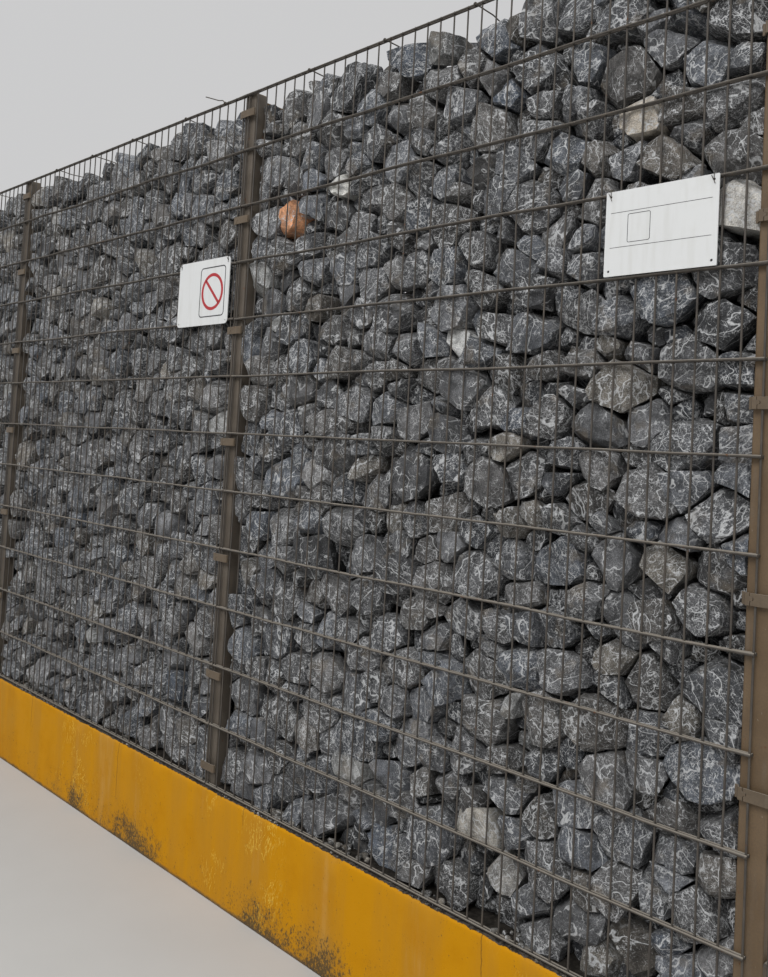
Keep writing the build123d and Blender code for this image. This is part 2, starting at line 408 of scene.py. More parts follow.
def kerb_paint():
    """Ochre road paint on concrete: brushed bands, scratches, cracks, dirt low down, a dark band along the
    foot, and a bare top darkened by dirt and painted shade.
    """
    n = new_material("ochre_kerb_paint")
    place = n.place()
    split = n.add("ShaderNodeSeparateXYZ", {"Vector": place})
    x, y, z = (split.outputs[axis] for axis in "XYZ")
    brushed = n.noise(n.drawn_out(place, 0.10), 5.5, 6.0, 0.62)
    cloud = n.noise(place, 7.0, 6.0, 0.6)
    fine = n.noise(place, 190.0, 4.0, 0.6)
    colour = n.mix(n.span(brushed, 0.40, 0.62), (0.490, 0.218, 0.002), (0.425, 0.196, 0.012))
    colour = n.coat(colour, n.span(brushed, 0.57, 0.70), 0.8, (0.480, 0.262, 0.062))
    colour = n.coat(colour, n.span(cloud, 0.45, 0.72), 0.5, (0.420, 0.172, 0.001))

    def along(value, amount):
        """Distance along the kerb from one value, wavering a little."""
        return n.apart(n.plus(x, n.times(n.minus(cloud, 0.5), amount)), value)

    for at, low in KERB_CRACKS:
        line = n.span(along(at, 0.04), 0.0004, 0.0024, 1.0, 0.0)
        line = n.times(line, n.span(z, low, low + 0.05))
        colour = n.coat(colour, line, 0.8, (0.150, 0.070, 0.010))
    rubbed = n.span(n.noise(n.drawn_out(place, 0.0), 1.3, 2.0), 0.56, 0.66)
    strokes = n.apart(n.noise(n.drawn_out(n.warped(place, 5.0, 0.1), 0.22), 75.0, 3.0, 0.6), 0.5)
    strokes = n.times(n.span(strokes, 0.008, 0.024, 1.0, 0.0), n.span(cloud, 0.50, 0.58))
    colour = n.mix(n.times(strokes, n.times(rubbed, 0.62)), colour, (0.720, 0.500, 0.090))

    grime = n.noise(n.warped(place, 16.0, 0.05), 22.0, 6.0, 0.72)
    dots = n.noise(n.drawn_out(place, 0.7), 150.0, 5.0, 0.75)
    heap = n.span(n.noise(n.drawn_out(place, 0.0), 2.3, 2.0), 0.42, 0.80, 0.18, 0.8)
    for at, half in KERB_SMUDGES:
        heap = n.most(heap, n.span(along(at, 0.3), 0.0, half, 1.0, 0.0))
    dirt = n.times(n.span(z, 0.01, 0.20, 1.0, 0.0), heap)
    dirt = n.plus(n.times(dirt, 0.22), n.times(n.minus(grime, 0.5), 0.40))
    colour = n.coat(colour, n.span(dirt, 0.04, 0.24), 0.45, (0.190, 0.110, 0.030))
    colour = n.coat(colour, n.span(n.plus(dots, dirt), 0.64, 0.72), 0.80, (0.050, 0.042, 0.030))
    # A dark band along the foot of the kerb
    foot = n.span(n.plus(z, n.times(grime, 0.03)), 0.016, 0.030, 1.0, 0.0)
    colour = n.coat(colour, foot, 0.85, (0.060, 0.052, 0.042))

    # The paint ends in a ragged line near the upper edge
    to_face = n.minus(KERB_HIGH.y, n.math("ABSOLUTE", y))
    to_end = n.minus(KERB_HIGH.x, n.math("ABSOLUTE", x))
    inward = n.math("MINIMUM", to_face, to_end)
    drop = n.minus(KERB_TOP, z)
    rag = n.noise(n.warped(place, 30.0, 0.02), 48.0, 6.0, 0.7)
    bare = n.span(n.plus(n.minus(inward, drop), n.times(rag, 0.026)), 0.0165, 0.0190)
    chip_at = n.noise(n.warped(place, 40.0, 0.02), 17.0, 6.0, 0.75)
    chip = n.span(n.plus(chip_at, n.span(drop, 0.0, 0.05, 0.08, 0.0)), 0.735, 0.75)
    bare = n.most(bare, chip)
    gravel = n.noise(place, 85.0, 6.0, 0.75)
    concrete = n.mix(n.span(gravel, 0.42, 0.60), (0.022, 0.019, 0.016), (0.080, 0.070, 0.058))
    concrete = n.mix(n.span(n.noise(place, 42.0, 5.0, 0.7), 0.62, 0.68), concrete, (0.220, 0.200, 0.168))
    # Further in from the face, under the mesh and the stones, the bare top darkens nearly to black: partly
    # dirt, partly painted shade
    concrete = n.mix(n.span(inward, 0.020, 0.034, 0.0, 0.7), concrete, (0.016, 0.014, 0.012))
    colour = n.mix(bare, colour, concrete)

    relief = n.plus(n.times(cloud, 0.8), n.times(fine, 0.45))
    relief = n.plus(relief, n.times(bare, -0.55))
    relief = n.plus(relief, n.times(gravel, bare))
    rough = n.plus(n.span(cloud, 0.3, 0.7, 0.55, 0.72), n.times(bare, 0.22))
    return n.finish(Base_Color=colour, Roughness=rough, Normal=n.bump(relief, 0.0014, 0.6),
                    Specular_IOR_Level=0.08)


def sign_white():
    """White enamelled plate with faint streaks and cloudy dust."""
    n = new_material("white_sign_enamel")
    place = n.place()
    run = n.noise(n.drawn_out(place, 0.12), 55.0, 4.0)
    cloud = n.noise(place, 14.0, 5.0)
    colour = n.coat((0.600, 0.605, 0.602), n.span(run, 0.45, 0.75), 0.5, (0.520, 0.520, 0.500))
    colour = n.coat(colour, n.span(cloud, 0.55, 0.75), 0.35, (0.520, 0.515, 0.490))
    return n.finish(Base_Color=colour, Roughness=n.span(cloud, 0.3, 0.7, 0.30, 0.42),
                    Normal=n.bump(n.noise(place, 30.0, 3.0), 0.0004, 0.3))


def print_ink(name, colour, faded):
    """Printed marks, a little faded in patches."""
    n = new_material(name)
    wear = n.span(n.noise(n.place(), 120.0, 4.0, 0.6), 0.45, 0.75)
    return n.finish(Base_Color=n.coat(colour, wear, 0.5, faded),
                    Roughness=n.span(wear, 0.0, 1.0, 0.38, 0.55))


STONE = limestone()
STEEL = painted_steel("taupe_post_paint", (0.106, 0.069, 0.037), (0.138, 0.093, 0.053), 0.45)
# A darker, greyer copy of the post paint, used on the three farther posts
GREYER_STEEL = painted_steel("greyer_post_paint", (0.076, 0.062, 0.048), (0.112, 0.094, 0.075), 0.50)
# The wire paint is a darker copy of the post paint as painted shade, and its strong lightening of upward
# faces is painted light on the wires' tops
WIRE = painted_steel("taupe_wire_paint", (0.047, 0.042, 0.037), (0.074, 0.065, 0.056), 0.50, 3.0, 0.80)
CLAMP = painted_steel("taupe_clamp_paint", (0.096, 0.071, 0.047), (0.122, 0.091, 0.061), 0.42, 2.0)
KERB = kerb_paint()
WHITE = sign_white()
BLACK = print_ink("dark_sign_print", (0.020, 0.021, 0.023), (0.075, 0.077, 0.080))
RED = print_ink("red_sign_print", (0.36, 0.011, 0.017), (0.41, 0.038, 0.038))


# Stones

# Least and greatest radius and number of tries, the large ones first, how the stones are
# stretched, and how near two may be, as a share of the sum of their radii
STONE_SIZES = ((0.058, 0.070, 190), (0.045, 0.058, 2200), (0.033, 0.045, 10000),
               (0.023, 0.031, 9000), (0.016, 0.021, 5000))
STONE_STRETCH = np.array((1.10, 1.30, 0.93))
STONE_CLOSE = 0.93
MOST_STONES = 6000

# Room kept at the wall's ends, above and below, and at a post, as shares of a stone's radius
END_ROOM = 0.7
LEVEL_ROOM = 0.62
POST_ROOM = 0.72

# Depth of the two layers, and the column of stones between each two posts: its stones' radius,
# their steps up, and where it starts and ends above the kerb and below the top
STONE_DEPTH = 0.075
DEPTH_SWAY = 0.016
COLUMN_RADIUS = 0.046
COLUMN_STEPS = (0.08, 0.115)
COLUMN_SWAY = 0.03
COLUMN_LOW = 0.045
COLUMN_HIGH = 0.03

# Planes between neighbours: how many, their tilt, and the gap's least, spread and power, with
# less of it between the two layers
NEIGHBOURS = 24
STONE_TILT = 0.105
STONE_GAP = 0.0026
GAP_LEAST = 0.30
GAP_SPREAD = 0.45
GAP_POWER = 1.6
LAYER_GAP = 0.3

# How far stones stand back from the mesh. FLUSH_SHARES gives, up to each radius, the share of
# the stones that isn't sunk deep.
AT_MESH_SHARE = 0.42
SET_BACK = 0.013
SET_BACK_MOST = 0.038
FLUSH_SHARES = ((0.0205, 0.08), (0.026, 0.36), (0.035, 0.82), (1.0, 1.0))
SUNK_BACK = (0.034, 0.066)
# The colour of a sunk stone is darkened by this factor as painted shade, for the shade it lies in behind the
# others
SUNK_PAINTED_SHADE = 0.45

# Room to mesh and kerb, posts and top wire, a limit beyond the wall, and the tilt of outer faces
STONE_CLEAR = 0.0015
POST_CLEAR = 0.0025
TOP_CLEAR = 0.007
BEYOND = 9.0
ROOF_TILT = 0.26
ROOF_RISE = (-0.024, 0.026)
FACE_TILT = 0.13

# Broken facets: the tilt of the two on the open face, and numbers and depths of the others, deep
# ones and small ones at corners, as shares of the stone's reach
OPEN_TILT = 0.55
OPEN_CUT = (0.76, 0.97)
OTHER_CUTS = ((4, (0.66, 1.0)), (2, (0.88, 0.97)))

# Fine shape: points on a stone, fewer for rough work, and the pull of points to its edges.
# Ridges by number, length and height. STONE_TRIANGLES is what all stones have.
TEMPLATE_POINTS = 700
FEW_POINTS = 162
EDGE_PULL = 0.88
RIDGES = 11
RIDGE_LENGTHS = (0.014, 0.075)
RIDGE_HEIGHT = 0.036
WOBBLE = 0.004
WOBBLE_TURNS = 160
STONES_AT_ONCE = 120
STONE_TRIANGLES = 690000

# Colour and veins of most stones, and others by the shares of all stones they lie between.
# The first of these are plain, with few veins.
STONE_BODY = (0.060, 0.061, 0.0645)
STONE_VEINS = (4.2, 1.6)
OTHER_BODIES = ((0.0, 0.045, (0.086, 0.087, 0.091)), (0.045, 0.09, (0.112, 0.102, 0.088)),
                (0.115, 0.126, (0.140, 0.140, 0.136)))
PLAIN_VEINS = (0.1, 0.35)
LIGHT_SPREAD = 0.26
WARM_SPREAD = 0.06

# Single stones on the front that stand out: x, z, radius, colour and how veined
SINGLE_STONES = (
    (1.150, 2.278, 0.040, (0.500, 0.245, 0.130, 0.10)),
    (1.400, 2.368, 0.038, (0.420, 0.415, 0.390, 0.55)),
    (2.441, 2.341, 0.044, (0.270, 0.240, 0.200, 0.45)),
    (2.707, 2.087, 0.052, (0.330, 0.315, 0.290, 0.95)),
    (-0.619, 2.551, 0.036, (0.300, 0.295, 0.285, 0.70)),
    (1.913, 1.840, 0.031, (0.430, 0.430, 0.420, 0.40)),
    (2.073, 0.572, 0.046, (0.230, 0.215, 0.190, 0.50)),
    (2.137, 0.476, 0.050, (0.180, 0.172, 0.160, 0.55)),
    (2.365, 1.614, 0.058, (0.070, 0.071, 0.074, 0.00)))


def spread_directions(count):
    """Directions spread evenly over a ball, and the triangles that join them."""
    k = np.arange(count) + 0.5
    z = 1 - 2 * k / count
    turn = math.pi * (1 + 5 ** 0.5) * k
    ring = np.sqrt(1 - z * z)
    points = np.stack((ring * np.cos(turn), ring * np.sin(turn), z), 1)
    hull = bpy.data.meshes.new("hull")
    shape = bmesh.new()
    for p in points:
        shape.verts.new(p)
    bmesh.ops.convex_hull(shape, input=shape.verts)
    shape.verts.index_update()
    bmesh.ops.triangulate(shape, faces=shape.faces)
    shape.to_mesh(hull)
    shape.free()
    corners = np.zeros(len(hull.vertices) * 3)
    hull.vertices.foreach_get("co", corners)
    faces = np.zeros(len(hull.polygons) * 3, np.int32)
    hull.polygons.foreach_get("vertices", faces)
    bpy.data.meshes.remove(hull)
    return corners.reshape(-1, 3), faces.reshape(-1, 3)


def scatter_layer(rng, given):
    """Stone centres in one layer, as x, z and radius, apart from each other and from those given."""
    found = np.zeros((MOST_STONES, 3))
    count = len(given)
    found[:count] = np.array(given).reshape(-1, 3)
    for low, high, tries in STONE_SIZES:
        for _ in range(tries):
            r = rng.uniform(low, high)
            x = rng.uniform(POST_X[0] + POST_HALF + END_ROOM * r, POST_X[-1] - POST_HALF - END_ROOM * r)
            z = rng.uniform(KERB_TOP + LEVEL_ROOM * r, fill_top(x) - LEVEL_ROOM * r)
            if min(abs(x - p) for p in POST_X) < POST_HALF + POST_ROOM * r:
                continue
            near = found[:count]
            apart = np.hypot((near[:, 0] - x) / STONE_STRETCH[0], (near[:, 1] - z) / STONE_STRETCH[2])
            if np.all(apart > STONE_CLOSE * (near[:, 2] + r)):
                found[count] = (x, z, r)
                count += 1
    return found[:count]


def random_turns(rng, count):
    """Random rotation matrices."""
    q = rng.normal(size=(count, 4))
    w, x, y, z = (q / np.linalg.norm(q, axis=1)[:, None]).T
    return np.stack((
        1 - 2 * (y * y + z * z), 2 * (x * y - z * w), 2 * (x * z + y * w),
        2 * (x * y + z * w), 1 - 2 * (x * x + z * z), 2 * (y * z - x * w),
        2 * (x * z - y * w), 2 * (y * z + x * w), 1 - 2 * (x * x + y * y)), 1).reshape(-1, 3, 3)


def reach(normals, offsets, directions):
    """How far each stone reaches in each direction, inside its planes."""
    inverse = normals / offsets[..., None]
    return 1 / np.matmul(directions, inverse.transpose(0, 2, 1)).max(-1)


def to_edges(normals, offsets, directions):
    """Moves directions that pass near an edge or a corner of their stone onto it."""
    inverse = normals / offsets[..., None]
    q = np.matmul(directions, inverse.transpose(0, 2, 1))
    top = np.argpartition(-q, 2, axis=-1)[..., :3]
    value = np.take_along_axis(q, top, -1)
    top = np.take_along_axis(top, np.argsort(-value, axis=-1), -1)
    stone = np.arange(len(normals))[:, None]
    first, second, third = (inverse[stone, top[..., k]] for k in range(3))
    edge = unit_rows(first - second)
    other = unit_rows(first - third)
    from_edge = (edge * directions).sum(-1)
    from_other = (other * directions).sum(-1)
    near = 0.5 * math.sqrt(4 * math.pi / directions.shape[1])
    on_edge = unit_rows(directions - edge * from_edge[..., None])
    corner = np.cross(edge, other)
    size = np.linalg.norm(corner, axis=-1)
    corner = corner / np.maximum(size, 1e-6)[..., None]
    corner *= np.sign((corner * directions).sum(-1))[..., None]
    at_corner = (from_edge < near) & (from_other < near) & (size > 0.2)
    at_corner &= (corner * directions).sum(-1) > math.cos(2 * near)
    at_edge = (from_edge < near) & ~at_corner
    goal = np.where(at_corner[..., None], corner, np.where(at_edge[..., None], on_edge, directions))
    return unit_rows(directions + EDGE_PULL * (goal - directions))


def share_flush(radii):
    """The share of the stones of each radius that isn't sunk deep behind the mesh."""
    limits, shares = np.array(FLUSH_SHARES).T
    return shares[np.searchsorted(limits, radii)]


def place_stones(rng):
    """Centre, radius and layer of each stone: -1 and 1 behind the meshes, 0 between two posts."""
    centres = []
    radii = []
    layer = []
    for _, facing in SIDES:
        given = [stone[:3] for stone in SINGLE_STONES] if facing == -1 else []
        spots = scatter_layer(rng, given)
        y = facing * (STONE_DEPTH + rng.uniform(-DEPTH_SWAY, DEPTH_SWAY, len(spots)))
        centres.append(np.stack((spots[:, 0], y, spots[:, 1]), 1))
        radii.append(spots[:, 2])
        layer += [facing] * len(spots)
    for p in POST_X:
        z = KERB_TOP + COLUMN_LOW
        while z < fill_top(p) - COLUMN_HIGH:
            centres.append(np.array(((p, rng.uniform(-COLUMN_SWAY, COLUMN_SWAY), z),)))
            radii.append(np.array((COLUMN_RADIUS,)))
            layer.append(0)
            z += rng.uniform(*COLUMN_STEPS)
    return np.concatenate(centres), np.concatenate(radii), np.array(layer)


def neighbour_planes(rng, centres, radii, layer):
    """Planes between each stone and its neighbours, tilted and a little apart."""
    spots = (centres / STONE_STRETCH).astype(np.float32)
    apart = spots[None] - spots[:, None]
    far = np.linalg.norm(apart, axis=2)
    np.fill_diagonal(far, 1e3)
    half = (far * far + radii[:, None] ** 2 - radii[None] ** 2) / (2 * far)
    nearest = np.argpartition(half, NEIGHBOURS, axis=1)[:, :NEIGHBOURS]
    rows = np.arange(len(centres))[:, None]
    real = apart[rows, nearest] / far[rows, nearest][..., None] / STONE_STRETCH
    length = np.linalg.norm(real, axis=2)
    normals = real / length[..., None]
    offsets = half[rows, nearest] / length
    tilted = unit_rows(normals + rng.normal(0, STONE_TILT, normals.shape))
    offsets = offsets * (tilted * normals).sum(-1)
    gap = STONE_GAP * (GAP_LEAST + GAP_SPREAD * rng.exponential(1.0, offsets.shape) ** GAP_POWER)
    offsets -= np.where(layer[nearest] == layer[:, None], gap, LAYER_GAP * gap)
    return tilted, offsets


def wall_planes(rng, centres, radii, layer, bay):
    """Planes that keep each stone inside the mesh, on the kerb and off the posts, and which are sunk."""
    count = len(centres)
    posts_at = np.array(POST_X)
    left = posts_at[bay] + POST_HALF
    right = posts_at[bay + 1] - POST_HALF
    behind_post = layer == 0
    post = posts_at[np.argmin(np.abs(centres[:, :1] - posts_at), axis=1)]
    ends = (POST_X[0] - POST_HALF, POST_X[-1] + POST_HALF)
    left = np.where(behind_post, np.where(post == POST_X[0], ends[0], -BEYOND), left)
    right = np.where(behind_post, np.where(post == POST_X[-1], ends[1], BEYOND), right)
    deep = np.where(behind_post, POST_BACK, MESH_IN)
    set_back = np.where(rng.random(count) < AT_MESH_SHARE, 0.0, rng.exponential(SET_BACK, count))
    set_back = np.minimum(set_back, SET_BACK_MOST)
    sunk = rng.random(count) > share_flush(radii)
    set_back = np.where(sunk, rng.uniform(*SUNK_BACK, count), set_back)
    front = deep - np.where(layer == -1, set_back, 0) - STONE_CLEAR
    rear = deep - np.where(layer == 1, set_back, 0) - STONE_CLEAR
    roof = np.ones((count, 3))
    roof[:, :2] = rng.normal(0, ROOF_TILT, (count, 2))
    roof = unit_rows(roof)
    lean = rng.normal(0, FACE_TILT, (count, 3))
    lean[:, 1] = -1
    lean = unit_rows(lean)
    x, y, z = centres.T
    roof_at = fill_top(x) + rng.uniform(*ROOF_RISE, count)
    walls = (
        (lean, y + front),
        (lean * np.array((1, -1, 1)), rear - y),
        ((0.0, 0.0, -1.0), z - KERB_TOP - STONE_CLEAR),
        (roof, (roof_at - z) * roof[:, 2]),
        ((0.0, 0.0, 1.0), MESH_TOP - TOP_CLEAR - z),
        ((-1.0, 0.0, 0.0), x - left - POST_CLEAR),
        ((1.0, 0.0, 0.0), right - x - POST_CLEAR))
    normals = np.stack([np.broadcast_to(normal, (count, 3)) for normal, _ in walls], 1)
    return normals, np.stack([offset for _, offset in walls], 1), sunk


def cut(rng, normals, offsets, directions, turned, depths):
    """The planes with more facets, each at a random share of the stone's reach."""
    turned = unit_rows(turned)
    points = reach(normals, offsets, directions[None])[..., None] * directions
    support = np.matmul(turned, points.transpose(0, 2, 1)).max(-1)
    added = support * rng.uniform(*depths, support.shape)
    return np.concatenate((normals, turned), 1), np.concatenate((offsets, added), 1)


def stone_planes(rng):
    """Every stone as a centre and the planes that bound it, with its layer and bay, and if it is sunk."""
    centres, radii, layer = place_stones(rng)
    count = len(centres)
    bay = np.clip(np.searchsorted(POST_X, centres[:, 0]) - 1, 0, BAYS - 1)
    between = neighbour_planes(rng, centres, radii, layer)
    *walls, sunk = wall_planes(rng, centres, radii, layer, bay)
    normals, offsets = (np.concatenate(pair, 1) for pair in zip(between, walls))

    # The centre moves to the middle of the cell
    few, _ = spread_directions(FEW_POINTS)
    for _ in range(3):
        r = reach(normals, np.maximum(offsets, 0.003), few[None])
        middle = 0.75 * (r[..., None] ** 4 * few).sum(1) / (r ** 3).sum(1)[:, None]
        centres = centres + middle
        offsets = offsets - (normals * middle[:, None]).sum(-1)
    offsets = np.maximum(offsets, 0.004)

    open_face = rng.normal(0, OPEN_TILT, (count, 2, 3))
    open_face[..., 1] = np.where(layer == 0, -1, layer)[:, None]
    normals, offsets = cut(rng, normals, offsets, few, open_face, OPEN_CUT)
    for number, depths in OTHER_CUTS:
        normals, offsets = cut(rng, normals, offsets, few, rng.normal(size=(count, number, 3)), depths)
    return centres, normals, offsets, layer, bay, sunk


def stone_colours(rng, sunk):
    """Base colour of each stone, with painted shade on sunk stones, and how veined it is as the fourth
    value.
    """
    count = len(sunk)
    # Sunk stones are darkened as painted shade for the shade behind the stones in front
    light = np.exp(rng.normal(0, LIGHT_SPREAD, count)) * np.where(sunk, SUNK_PAINTED_SHADE, 1.0)
    warm = rng.normal(0, WARM_SPREAD, count)[:, None] * np.array((1.0, 0.15, -1.0))
    colours = np.empty((count, 4))
    colours[:, :3] = np.array(STONE_BODY) * light[:, None] * (1 + warm)
    colours[:, 3] = rng.beta(*STONE_VEINS, count)
    kind = rng.random(count)
    for start, end, colour in OTHER_BODIES:
        chosen = (kind >= start) & (kind < end)
        colours[chosen, :3] = np.array(colour) * light[chosen, None]
    plain = kind < OTHER_BODIES[0][1]
    colours[plain, 3] = rng.uniform(*PLAIN_VEINS, plain.sum())
    for stone, (_, _, _, colour) in enumerate(SINGLE_STONES):
        colours[stone] = colour
    return colours


def stone_shapes(rng, normals, offsets, directions):
    """Corners of every stone about its own centre, with chiselled faces."""
    count = len(normals)
    turns = random_turns(rng, count)
    lengths = np.geomspace(*RIDGE_LENGTHS, RIDGES)
    steer = unit_rows(rng.normal(size=(count, RIDGES, 3))) / lengths[None, :, None]
    phase = rng.random((count, RIDGES))
    shapes = np.empty((count, len(directions), 3), np.float32)
    for start in range(0, count, STONES_AT_ONCE):
        part = slice(start, start + STONES_AT_ONCE)
        turned = np.matmul(directions, turns[part])
        turned = to_edges(normals[part], offsets[part], turned).astype(np.float32)
        r = reach(normals[part].astype(np.float32), offsets[part].astype(np.float32), turned)
        points = turned * r[..., None]
        wobble = points + WOBBLE * np.sin(points[..., (1, 2, 0)] * WOBBLE_TURNS + phase[part, :3][:, None])
        steps = np.matmul(wobble, steer[part].transpose(0, 2, 1)) + phase[part][:, None]
        ridges = np.abs(2 * (steps - np.floor(steps)) - 1) - 0.5
        push = (ridges * lengths).sum(-1) * RIDGE_HEIGHT
        shapes[part] = points + turned * push[..., None]
    return shapes, turns


def build_stones():
    """All the stones, as one piece for each bay and side."""
    rng = np.random.default_rng(STONE_SEED)
    centres, normals, offsets, layer, bay, sunk = stone_planes(rng)
    colours = stone_colours(rng, sunk)
    directions, faces = spread_directions(TEMPLATE_POINTS)
    shapes, turns = stone_shapes(rng, normals, offsets, directions)
    shift = rng.uniform(-3, 3, (len(centres), 3))
    low = KERB_TOP + 0.0005
    for side, facing in SIDES:
        for b in range(BAYS):
            layers = (0, 1) if facing == 1 else (-1,)
            chosen = np.flatnonzero(np.isin(layer, layers) & (bay == b))
            verts = shapes[chosen] + centres[chosen][:, None]
            verts[..., 1] = np.clip(verts[..., 1], -MESH_IN, MESH_IN)
            verts[..., 2] = np.maximum(verts[..., 2], low)
            tied = faces[None] + (np.arange(len(chosen)) * len(directions))[:, None, None]
            raw = make_mesh("raw", verts, tied.reshape(-1, 3))
            number = raw.attributes.new("stone", "FLOAT", "POINT")
            number.data.foreach_set("value", np.repeat(chosen, len(directions)).astype(np.float32))
            mesh = raw
            holder = bpy.data.objects.new("holder", raw)
            bpy.context.scene.collection.objects.link(holder)
            fewer = holder.modifiers.new("fewer", "DECIMATE")
            fewer.ratio = STONE_TRIANGLES / (len(faces) * len(centres))
            evaluated = holder.evaluated_get(bpy.context.evaluated_depsgraph_get())
            mesh = bpy.data.meshes.new_from_object(evaluated)
            bpy.data.objects.remove(holder)
            bpy.data.meshes.remove(raw)
            mesh.name = f"stones_{side}_{b + 1}"
            total = len(mesh.vertices)
            which = np.zeros(total, np.float32)
            mesh.attributes["stone"].data.foreach_get("value", which)
            which = np.rint(which).astype(int)
            place = np.zeros(total * 3, np.float32)
            mesh.vertices.foreach_get("co", place)
            own = place.reshape(-1, 3) - centres[which]
            grain = np.einsum("ni,nij->nj", own, turns[which]) + shift[which]
            mesh.attributes.remove(mesh.attributes["stone"])
            give_points(mesh, "grain", grain)
            give_points(mesh, "body", colours[which])
            mesh.shade_smooth()
            mesh.set_sharp_from_angle(angle=math.radians(STONE_SHARP))
            add_piece(mesh.name, mesh, STONE, [f"stone_fill_{b + 1}"])


# Chips on the kerb: how many on a side, least and greatest radius, how far in from the kerb's
# face, and points on each
CHIPS = ((230, 0.0014, 0.0042, 0.005, 0.022, 26), (230, 0.004, 0.013, 0.026, 0.070, 50))
CHIP_UNIT = 0.05
CHIP_FACETS = 9
CHIP_FROM_END = 0.03
CHIP_BODY = (0.085, 0.078, 0.068)


def build_chips():
    """Small chips on the kerb, along the ledge and under the stones."""
    rng = np.random.default_rng(CHIP_SEED)
    parts = []
    grains = []
    bodies = []
    for number, least, most, out, deep, points in CHIPS:
        count = 2 * number
        directions, faces = spread_directions(points)
        normals = np.concatenate((unit_rows(rng.normal(size=(count, CHIP_FACETS, 3))),
                                  np.tile(np.concatenate((np.eye(3), -np.eye(3))), (count, 1, 1))), 1)
        offsets = CHIP_UNIT * rng.uniform(0.55, 1.0, normals.shape[:2])
        shapes, turns = stone_shapes(rng, normals, offsets, directions)
        radius = rng.uniform(least, most, count)
        x = rng.uniform(KERB_LOW.x + CHIP_FROM_END, KERB_HIGH.x - CHIP_FROM_END, 3 * count)
        crowd = smooth_noise(rng, x, (0.05, 0.13, 0.31)) + rng.uniform(-0.4, 0.4, 3 * count)
        x = x[np.argsort(-crowd)[:count]]
        y = (KERB_HIGH.y - rng.uniform(out, deep, count)) * np.where(np.arange(count) < number, -1, 1)
        z = KERB_TOP + 0.5 * radius
        own = shapes / CHIP_UNIT * radius[:, None, None]
        own[..., 2] = np.maximum(own[..., 2], -0.5 * radius[:, None])
        parts.append(((own + np.stack((x, y, z), 1)[:, None]).reshape(-1, 3),
                      (faces[None] + (np.arange(count) * points)[:, None, None]).reshape(-1, 3)))
        shift = rng.uniform(-3, 3, (count, 1, 3))
        grains.append((np.matmul(own, turns) + shift).reshape(-1, 3))
        colours = np.empty((count, 4))
        colours[:, :3] = np.array(CHIP_BODY) * np.exp(rng.normal(0, 0.55, (count, 1)))
        colours[:, 3] = rng.uniform(0.0, 0.5, count)
        bodies.append(np.repeat(colours, points, 0))
    verts, faces = joined(parts)
    mesh = make_mesh("chips", verts, faces)
    give_points(mesh, "grain", np.concatenate(grains))
    give_points(mesh, "body", np.concatenate(bodies))
    add_piece("stone_chips", mesh, STONE)


# Wire mesh

def upright_places(length):
    """Where the upright wires stand along a mesh that spans a length."""
    last = length - EDGE
    places = []
    x = EDGE
    while x < last - LEAST_GAP:
        places.append(x)
        x += PITCH
    places.append(last)
    return places


def waver(rng, steps, size, run):
    """A slow random bend along a wire."""
    t = np.linspace(0, 1, steps)
    bend = np.zeros(steps)
    for k in range(1, 5):
        bend += rng.normal(0, 1 / k) * np.sin(2 * math.pi * (k * run * t + rng.random()))
    return bend * size


def mesh_wires(rng, length, level_steps):
    """The round wires of one mesh, standing in the plane of the front mesh."""
    parts = []
    thick = np.full(level_steps + 2, LEVEL_RADIUS)
    thick[[0, 1, -2, -1]] *= LEVEL_KNOB
    for row in range(ROWS + 1):
        z = MESH_LOW + row * ROW
        x = np.linspace(EDGE - STUB, length - EDGE + STUB, level_steps)
        calm = LEVEL_WAVE * (OUTER_ROW_CALM if row in (0, ROWS) else 1.0)
        bend = waver(rng, level_steps, calm, length)
        for out in (LEVEL_AT, INNER_LEVEL_AT):
            path = np.stack((x, np.full(level_steps, -out), z + bend), 1)
            inner = [path[0] + (2 * STUB, 0, 0), path[-1] - (2 * STUB, 0, 0)]
            path = np.concatenate((path[:1], inner[:1], path[1:-1], inner[1:], path[-1:]))
            parts.append(tube(path, thick))
    for x in upright_places(length):
        z = np.linspace(MESH_LOW - TIP, MESH_TOP + TIP, UPRIGHT_STEPS)
        bend = waver(rng, UPRIGHT_STEPS, UPRIGHT_WAVE, 1.0)
        path = np.stack((x + bend, np.full(UPRIGHT_STEPS, -UPRIGHT_AT), z), 1)
        parts.append(tube(path, UPRIGHT_RADIUS))
    return joined(parts)


def build_wires():
    """Round wires for the CAD's square ones, on both sides and across the ends."""
    rng = np.random.default_rng(WIRE_SEED)
    for b in range(BAYS):
        for side, facing in SIDES:
            verts, faces = mesh_wires(rng, POST_X[b + 1] - POST_X[b], LEVEL_STEPS)
            verts = verts + np.array((POST_X[b], 0, 0))
            if facing == 1:
                verts = verts * np.array((1, -1, 1))
                faces = faces[:, ::-1]
            mesh = make_mesh("wires", verts, faces, ROUND_SHARP)
            add_piece(f"{side}_wires_{b + 1}", mesh, WIRE,
                      [f"{side}_mesh_{b + 1}_left", f"{side}_mesh_{b + 1}_right"])
    span = 2 * MESH_IN
    for name, sign, post in (("left", -1, POST_X[0]), ("right", 1, POST_X[-1])):
        verts, faces = mesh_wires(rng, span, END_LEVEL_STEPS)
        out = post + sign * (POST_HALF + FIT - (MESH_IN + FIT))
        turned = np.stack((out - sign * verts[:, 1], verts[:, 0] - span / 2, verts[:, 2]), 1)
        if sign == -1:
            faces = faces[:, ::-1]
        mesh = make_mesh("wires", turned, faces, ROUND_SHARP)
        add_piece(f"{name}_end_wires", mesh, WIRE, [f"{name}_end_mesh"])


